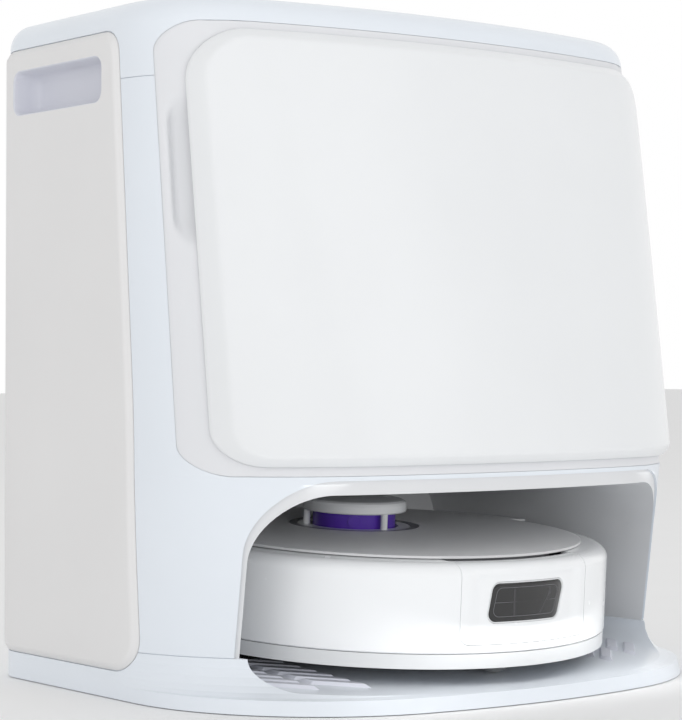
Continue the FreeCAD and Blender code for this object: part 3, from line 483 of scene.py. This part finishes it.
# ---------------------------------------------------------------- front door
DOOR_HALF, DOOR_LOW, DOOR_HIGH = 184.0, 142.8, 402.0
DOOR_RADII = [21.0, 21.0, 31.0, 31.0]
DOOR_SKIN_BACK, DOOR_FACE = 5.8, 8.0
DOOR_INNER_INSET, DOOR_FACE_INSET = 4.8, 8.0
DOOR_RINGS = 30
# The door's rim as (inset, offset), from its back flange round to its face.
DOOR_EDGE = ((4.8, 1.2), (0.4, 1.2), (0.0, 1.7), (0.0, 2.6), (0.3, 3.1), (2.3, 5.1), (4.1, 6.9),
             (4.6, 7.3), (5.2, 7.65), (5.9, 7.88), (6.8, 7.98), (8.0, 8.0))
HINGE_STARTS = (6.0, 166.0)
HINGE_CUT_R, HINGE_CUT_LENGTH, HINGE_CUT_SHIFT = 3.7, 11.0, 5.0


def door():
    """Curved front door: a broad bevel round a smooth face, hollow behind."""
    outline = rounded_polygon(box_points(-DOOR_HALF, DOOR_HALF, DOOR_LOW, DOOR_HIGH), DOOR_RADII)
    middle = (0, (DOOR_LOW + DOOR_HIGH) / 2)
    inner, outer = inset(outline, DOOR_INNER_INSET), inset(outline, DOOR_FACE_INSET)
    shares = [k / DOOR_RINGS for k in range(1, DOOR_RINGS + 1)]
    rings = [[on_front(p.x, p.y, DOOR_SKIN_BACK) for p in towards(inner, middle, s)] for s in shares]
    for distance, offset in DOOR_EDGE:
        rings.append([on_front(p.x, p.y, offset) for p in inset(outline, distance)])
    for s in reversed(shares[:-1]):
        rings.append([on_front(p.x, p.y, DOOR_FACE) for p in towards(outer, middle, s)])
    made = piece("door_face", lambda bm: add_rings(bm, rings, True, True), "door_pearl", "front_door",
                 "door_skin", sharp=32)
    for start in HINGE_STARTS:
        cut_hinge_notch(made, start)


def cut_hinge_notch(door_face, start):
    """Round notch in the door's back for one hinge bracket, on the door's own joint axis."""
    hinge = next(j for j in frame["joints"] if j["name"] == "door_hinge")
    foot, axis = Vector(hinge["pos_m"]), Vector(hinge["axis"]).normalized()
    bm = bmesh.new()
    bmesh.ops.create_cone(bm, cap_ends=True, segments=40, radius1=HINGE_CUT_R * MM,
                          radius2=HINGE_CUT_R * MM, depth=HINGE_CUT_LENGTH * MM)
    cutter_mesh = bpy.data.meshes.new("hinge_notch")
    bm.to_mesh(cutter_mesh)
    bm.free()
    cutter = bpy.data.objects.new("hinge_notch", cutter_mesh)
    bpy.context.scene.collection.objects.link(cutter)
    turn = axis.to_track_quat("Z", "Y").to_matrix().to_4x4()
    cutter.matrix_world = Matrix.Translation(foot + axis * (start + HINGE_CUT_SHIFT) * MM) @ turn
    cut = door_face.modifiers.new("notch", "BOOLEAN")
    cut.operation = "DIFFERENCE"
    cut.object = cutter
    bpy.context.view_layer.update()
    settled(door_face)
    bpy.data.objects.remove(cutter)


# ---------------------------------------------------------------- bezel and its finger recess
BEZEL = (-193.4, 193.4, 137.1, 406.9)
BAY = (-160, 160, 160, 385)
BEZEL_R, BAY_R = 18.0, 12.0
BEZEL_BACK, BEZEL_ROUND = -2.9, -0.35
BEZEL_STEPS = [26, 70, 26, 70]
BEZEL_RINGS = 30
BEZEL_FIRST_RING = 0.012
RECESS_DEPTH = 5.6
RECESS_IN, RECESS_OUT = (-192.0, -184.5), (-176.0, -167.0)
RECESS_LOW, RECESS_HIGH = (270.0, 290.0), (346.0, 366.0)


def recess_depth(x, z):
    across = smooth_step(x, *RECESS_IN) * (1 - smooth_step(x, *RECESS_OUT))
    along = smooth_step(z, *RECESS_LOW) * (1 - smooth_step(z, *RECESS_HIGH))
    return RECESS_DEPTH * across * along


def bezel():
    """Matte frame round the door, dished at the left so that a finger reaches the door's edge."""
    outer = even_box(*BEZEL, [BEZEL_R] * 4, BEZEL_STEPS)
    bay = even_box(*BAY, [BAY_R] * 4, BEZEL_STEPS)
    rings = [[on_front(p.x, p.y, offset) for p in outer] for offset in (BEZEL_BACK, BEZEL_ROUND)]
    for k in range(BEZEL_RINGS + 1):
        share = BEZEL_FIRST_RING + (1 - BEZEL_FIRST_RING) * k / BEZEL_RINGS
        points = [a.lerp(b, share) for a, b in zip(outer, bay)]
        rings.append([on_front(p.x, p.y, -recess_depth(p.x, p.y)) for p in points])
    rings.append([on_front(p.x, p.y, BEZEL_BACK) for p in bay])
    piece("bezel_frame", lambda bm: add_rings(bm, rings, loop=True), "bezel_matte", "station",
          "front_bezel", sharp=40)


# ---------------------------------------------------------------- side panels and handle cups
PANEL_POINTS = [(145.0, 17.8), (145.0, 404.7), (7.3, 404.7), (-11.6, 165.0), (-13.7, 17.8)]
PANEL_RADII = [8.0, 8.0, 14.0, 1000.0, 22.0]
PANEL_PROUD, PANEL_BACK = 3.0, -0.8
PANEL_RINGS = 12
# The panel's chamfered rim as (inset, offset).
PANEL_EDGE = ((0.0, -0.8), (0.0, 0.1), (0.25, 0.6), (2.9, 2.3), (3.5, 2.7), (4.3, 2.93), (5.4, 3.0))
CUP = (21.0, 128.0, 362.0, 391.0)
CUP_RADII = [8.0] * 4
CUP_DEPTH = 18.0
CUP_FLOOR_SHARES = (0.9, 0.7, 0.4, 0.15)
CUP_THICKNESS = 0.0014
# The cup's wall as (inset, depth), with its round lip and its fillet at the floor.
CUP_WALL = ((0.0, 0.0), (0.5, 0.25), (0.8, 0.9), (1.1, 3.0), (1.7, 11.0), (2.2, 13.4), (3.2, 15.6),
            (4.8, 17.1), (6.6, 17.8))


def side_panel(name, side):
    """Tall panel on a tank, chamfered all round, with a hole for the finger cup."""
    outline = rounded_polygon(PANEL_POINTS[::-1], PANEL_RADII[::-1], 12, 8.0)
    if sum(a.x * b.y - b.x * a.y for a, b in zip(outline, outline[1:])) < 0:
        outline.reverse()
    hole = rounded_polygon(box_points(*CUP), CUP_RADII, 10, 5.0)
    centre = Vector(((CUP[0] + CUP[1]) / 2, (CUP[2] + CUP[3]) / 2))
    face = inset(outline, PANEL_EDGE[-1][0])
    angles = shared_angles(centre, face + hole)
    rim = along_rays(hole, centre, angles)
    rings = []
    for distance, offset in PANEL_EDGE:
        points = along_rays(inset(outline, distance), centre, angles)
        rings.append([on_side(p.x, p.y, offset, side) for p in points])
    last = along_rays(face, centre, angles)
    for k in range(1, PANEL_RINGS + 1):
        points = [a.lerp(b, k / PANEL_RINGS) for a, b in zip(last, rim)]
        rings.append([on_side(p.x, p.y, PANEL_PROUD, side) for p in points])
    for offset in (1.0, PANEL_BACK):
        rings.append([on_side(p.x, p.y, offset, side) for p in rim])
    piece(name + "_cover", lambda bm: add_rings(bm, rings, loop=True), "panel_warm", name,
          name.split("_")[0] + "_side_panel", sharp=40)


def handle_cup(name, side):
    """Finger pocket in the panel, with large fillets at its floor."""
    outline = rounded_polygon(box_points(*CUP), CUP_RADII, 10, 5.0)
    centre = ((CUP[0] + CUP[1]) / 2, (CUP[2] + CUP[3]) / 2)
    rings = []
    levels = [(inset(outline, distance), depth) for distance, depth in CUP_WALL]
    last = levels[-1][0]
    levels += [(towards(last, centre, share), CUP_DEPTH) for share in CUP_FLOOR_SHARES]
    for points, depth in levels:
        sunk = Vector((side * depth * MM, 0, 0))
        rings.append([on_side(p.x, p.y, PANEL_PROUD, side) - sunk for p in points])
    made = piece(name + "_finger_cup", lambda bm: add_rings(bm, rings, cap_end=True), "cup_grey", name,
                 name.split("_")[0] + "_handle_cup", sharp=60)
    wall = made.modifiers.new("wall", "SOLIDIFY")
    wall.thickness = CUP_THICKNESS
    wall.offset = -1


# ---------------------------------------------------------------- ribs on the ramp
RIB_WAY = Vector((0.69, -0.72))
RIB_LENGTH, RIB_WIDTH, RIB_PITCH = 37.0, 8.4, 16.5
RIB_ROWS, RIB_FIRST_Y, RIB_LAST_Y, RIB_STAGGER = 12, -133.0, 30.0, 7.0
RIB_COLUMNS = (-143.0, -112.0)
RIB_FLOOR, RIB_TOP = 18.1, 20.2
LIP_Z, LIP_SAMPLE_X, LIP_OVERHANG = 9.0, 12.0, 12.0
# Outline of a rib as shares of its half length and half width, and its levels as (height, trim).
RIB_OUTLINE = ((-1, -1), (1, -1), (1.07, 0), (1, 1), (-1, 1), (-1.07, 0))
RIB_LEVELS = ((RIB_FLOOR, 0.0), (RIB_TOP - 0.35, 1.5), (RIB_TOP, 1.9))
RIB_END_SLOPE = 1.6


def traction_ribs():
    """Blades with sloped ends, in two staggered columns for each wheel, as far as the ramp's lip."""

    def build(bm):
        for side in (-1, 1):
            for column, x in enumerate(RIB_COLUMNS):
                for row in range(RIB_ROWS):
                    y = RIB_FIRST_Y + row * RIB_PITCH + column * RIB_STAGGER
                    lip = on_front(x - LIP_SAMPLE_X, LIP_Z, 0).y / MM - LIP_OVERHANG
                    front_end = y + RIB_LENGTH / 2 * RIB_WAY.y
                    if front_end >= lip and y <= RIB_LAST_Y:
                        add_rib(bm, Vector((x, y)), side)

    piece("ramp_ribs", build, "tray_grey", "station", "traction_ribs", sharp=20)


def add_rib(bm, middle, side):
    """One blade, laid along RIB_WAY on the left and mirrored on the right."""
    rings = []
    for rise, trim in RIB_LEVELS:
        half = RIB_LENGTH / 2 - trim * RIB_END_SLOPE
        wide = RIB_WIDTH / 2 / RIB_WAY.x - trim
        ring = []
        for along, across in RIB_OUTLINE:
            p = middle + RIB_WAY * along * half + Vector((0.0, across * wide))
            ring.append(tilted(-side * p.x, p.y, rise))
        rings.append(ring)
    add_rings(bm, rings, cap_end=True)


# ---------------------------------------------------------------- robot's front
ROBOT_R, SHOULDER_Z, SHOULDER_REACH, SHOULDER_RISE = 143.0, 84.0, 9.0, 7.8
SHOULDER_RUN = 13.2
SENSOR = (-50.6, 50.6, 43.2, 103.0)
SENSOR_RADII, SENSOR_STEPS = [6.0, 6.0, 1.0, 1.0], [30, 18, 30, 18]
SENSOR_RINGS, SENSOR_FIRST_RING, SENSOR_SPAN = 40, 0.008, 0.982
WINDOW_POINTS = [(-33.4, 55.3), (23.0, 55.3), (29.7, 80.4), (-29.4, 80.4)]
WINDOW_R = 5.9
WINDOW_MIDDLE = (-2.5, 67.8)
SCOOP = 2.1
SCOOP_LEFT, SCOOP_RIGHT = (-47.0, -36.5), (35.0, 47.0)
SCOOP_LOW, SCOOP_HIGH = (45.5, 53.5), (81.5, 90.0)
# Rims as (inset, depth below the scoop), for the frame of the window, the glass and the printed line.
RIM_EDGE = ((0.1, 2.2), (0.1, 0.15), (0.9, 0.35), (0.9, 2.2))
GLASS_EDGE = ((0.95, 2.4), (0.95, 0.8), (1.5, 0.5))
GLASS_SHARES = (0.85, 0.7, 0.55, 0.4, 0.25, 0.1)
LINE_EDGE = ((0, 0.52), (0.05, 0.44), (0.3, 0.44), (0.35, 0.52))
LINE_POINTS = [(-29.0, 59.0), (19.0, 59.0), (24.2, 76.8), (-25.6, 76.8)]
BAR = (-27, 21, 67.6, 67.9)
# Slanted parallelogram where the glass shows a reflection, filled with the paler film as a painted reflection.
REFLECTION_PLATE_POINTS = [(-14.0, 59.8), (7.5, 59.8), (20.0, 76.0), (-14.0, 76.0)]


def on_robot(x, run, depth):
    """A point on the bumper: run is the height up the wall, then the way round the shoulder."""
    if run <= SHOULDER_Z:
        radius, z = ROBOT_R - depth, run
    else:
        a = min(1.0, (run - SHOULDER_Z) / SHOULDER_RUN) * math.pi / 2
        over = max(0.0, run - SHOULDER_Z - SHOULDER_RUN)
        radius = ROBOT_R - SHOULDER_REACH * (1 - math.cos(a)) - over - depth * math.cos(a)
        z = SHOULDER_Z + SHOULDER_RISE * math.sin(a) - depth * math.sin(a)
    return tilted(x, -math.sqrt(radius**2 - x**2), z)


def scoop_depth(x, run):
    across = smooth_step(x, *SCOOP_LEFT) * (1 - smooth_step(x, *SCOOP_RIGHT))
    up = smooth_step(run, *SCOOP_LOW) * (1 - smooth_step(run, *SCOOP_HIGH))
    return SCOOP * across * up


def in_scoop(points, depth):
    return [on_robot(p.x, p.y, SCOOP + depth) for p in points]


def sensor_panel():
    """White panel round the camera window, dished towards it."""
    outer = even_box(*SENSOR, SENSOR_RADII, SENSOR_STEPS)
    window = rounded_polygon(WINDOW_POINTS, [WINDOW_R] * 4, 10, 3.0)
    centre = Vector(WINDOW_MIDDLE)
    angles = shared_angles(centre, outer + window)
    edge, hole = along_rays(outer, centre, angles), along_rays(window, centre, angles)
    rings = [[on_robot(p.x, p.y, depth) for p in edge] for depth in (2.6, 0.35)]
    for k in range(SENSOR_RINGS + 1):
        share = SENSOR_FIRST_RING + SENSOR_SPAN * k / SENSOR_RINGS
        points = [a.lerp(b, share) for a, b in zip(edge, hole)]
        rings.append([on_robot(p.x, p.y, scoop_depth(p.x, p.y)) for p in points])
    rings.append([on_robot(p.x, p.y, scoop_depth(p.x, p.y) + 0.4) for p in hole])
    rings.append([on_robot(p.x, p.y, 4.6) for p in hole])
    piece("sensor_panel", lambda bm: add_rings(bm, rings, loop=True), "robot_white", "bumper",
          "sensor_bezel", sharp=40)
    camera_window(window, centre)


def camera_window(window, centre):
    """Rim, dark glass, the line printed on it, and a paler plate on the glass that is a painted reflection."""

    def rim(bm):
        add_rings(bm, [in_scoop(inset(window, t), d) for t, d in RIM_EDGE], loop=True)

    def glass(bm):
        rings = [in_scoop(inset(window, t), d) for t, d in GLASS_EDGE]
        last_inset, last_depth = GLASS_EDGE[-1]
        last = inset(window, last_inset)
        rings += [in_scoop(towards(last, centre, share), last_depth) for share in GLASS_SHARES]
        add_rings(bm, rings, cap_end=True)

    def line(bm):
        inner = rounded_polygon(LINE_POINTS, [4.0] * 4, 8, 3)
        add_rings(bm, [in_scoop(inset(inner, t), d) for t, d in LINE_EDGE], loop=True)
        bar = rounded_polygon(box_points(*BAR), [0.1] * 4, 3, 4)
        add_rings(bm, [in_scoop(bar, d) for d in (0.52, 0.44)], cap_end=True)

    # A paler sheet laid on the glass: painted reflection.
    def plate(bm):
        shape = rounded_polygon(REFLECTION_PLATE_POINTS, [1.0, 1.0, 3.0, 1.0], 8, 3)
        add_rings(bm, [in_scoop(shape, d) for d in (0.52, 0.46)], cap_end=True)

    piece("window_rim", rim, "skirt_grey", "bumper", sharp=40)
    piece("window_glass", glass, "window_black", "bumper", "camera_window", sharp=40)
    piece("window_outline", line, "ring_dark", "bumper", sharp=40)
    piece("window_painted_reflection", plate, "painted_reflection_film", "bumper", sharp=40)


# ---------------------------------------------------------------- soft parts
MOP_X, MOP_Y, MOP_R = 48.5, 80.0, 46.0
# Turned profiles as (radius, height).
PAD_PROFILE = ((8, 18.8), (30, 18.8), (42, 18.9), (45, 19.6), (MOP_R, 21.2), (45.2, 22.8), (43, 23.7),
               (30, 23.8), (8, 23.8))
PLATE_PROFILE = ((6, 24.5), (41, 24.5), (42, 25.2), (41.4, 26.4), (12, 26.5), (9, 27.2), (6.4, 28.5),
                 (6.4, 40.2), (5.6, 40.5))
SEAM_COUNT, SEAM_WIDTH, SEAM_RISE, SEAM_REACH = 12, 0.11, 0.55, (10, 24)
PILE_RISE, PILE_WAVES = 0.18, 37
BAG_CUTS = 22


def mop(name, side):
    """Thick cloth pad with sewn radial seams, on its plate and spindle."""

    def seam(r, a):
        turn = a * SEAM_COUNT / (2 * math.pi)
        fold = math.exp(-(((turn % 1.0) - 0.5) / SEAM_WIDTH) ** 2)
        return SEAM_RISE * fold * smooth_step(r, *SEAM_REACH) + PILE_RISE * math.sin(a * PILE_WAVES + r)

    def build_pad(bm):
        add_lathe(bm, PAD_PROFILE, (side * MOP_X, MOP_Y), 240, seam)

    def build_plate(bm):
        add_lathe(bm, PLATE_PROFILE, (side * MOP_X, MOP_Y))

    pad = piece(name + "_pad", build_pad, "mop_fabric", name, name, sharp=60)
    piece(name + "_plate", build_plate, "dark_plastic", name, sharp=40)


def dust_bag():
    """Folded paper bag: swollen between its seams, with pleats down its sides."""
    low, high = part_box("dust_bag")
    centre, half = (low + high) / 2, (high - low) / 2

    def build(bm):
        bmesh.ops.create_cube(bm, size=2.0)
        bmesh.ops.subdivide_edges(bm, edges=bm.edges, cuts=BAG_CUTS, use_grid_fill=True)
        for v in bm.verts:
            u = v.co.copy()
            swell = [math.cos(u[(k + 1) % 3] * 1.25) * math.cos(u[(k + 2) % 3] * 1.25) for k in range(3)]
            squeeze = [(0.88 + 0.12 * max(0.0, swell[k])) for k in range(3)]
            crease = 0.012 * math.sin(u.z * 9 + u.x * 3) + 0.008 * math.sin(u.x * 14 - u.z * 5)
            pleat = 0.05 * abs(math.sin(u.y * math.pi)) if abs(u.x) > 0.98 else 0.0
            v.co = Vector((
                centre.x + half.x * u.x * (squeeze[0] - pleat - abs(crease) * 0.4),
                centre.y + half.y * u.y * (squeeze[1] - abs(crease)),
                centre.z + half.z * u.z * squeeze[2],
            ))

    made = piece("dust_bag_paper", build, "bag_paper", "dust_bag", "dust_bag", sharp=80)
    soften = made.modifiers.new("soften", "SUBSURF")
    soften.levels = 1
    soften.render_levels = 1


dress_cad_nodes()
camera()
studio()
door()
bezel()
for word, way in (("left", -1), ("right", 1)):
    side_panel(word + "_tank", way)
    handle_cup(word + "_tank", way)
    mop(word + "_mop", way)
traction_ribs()
sensor_panel()
dust_bag()
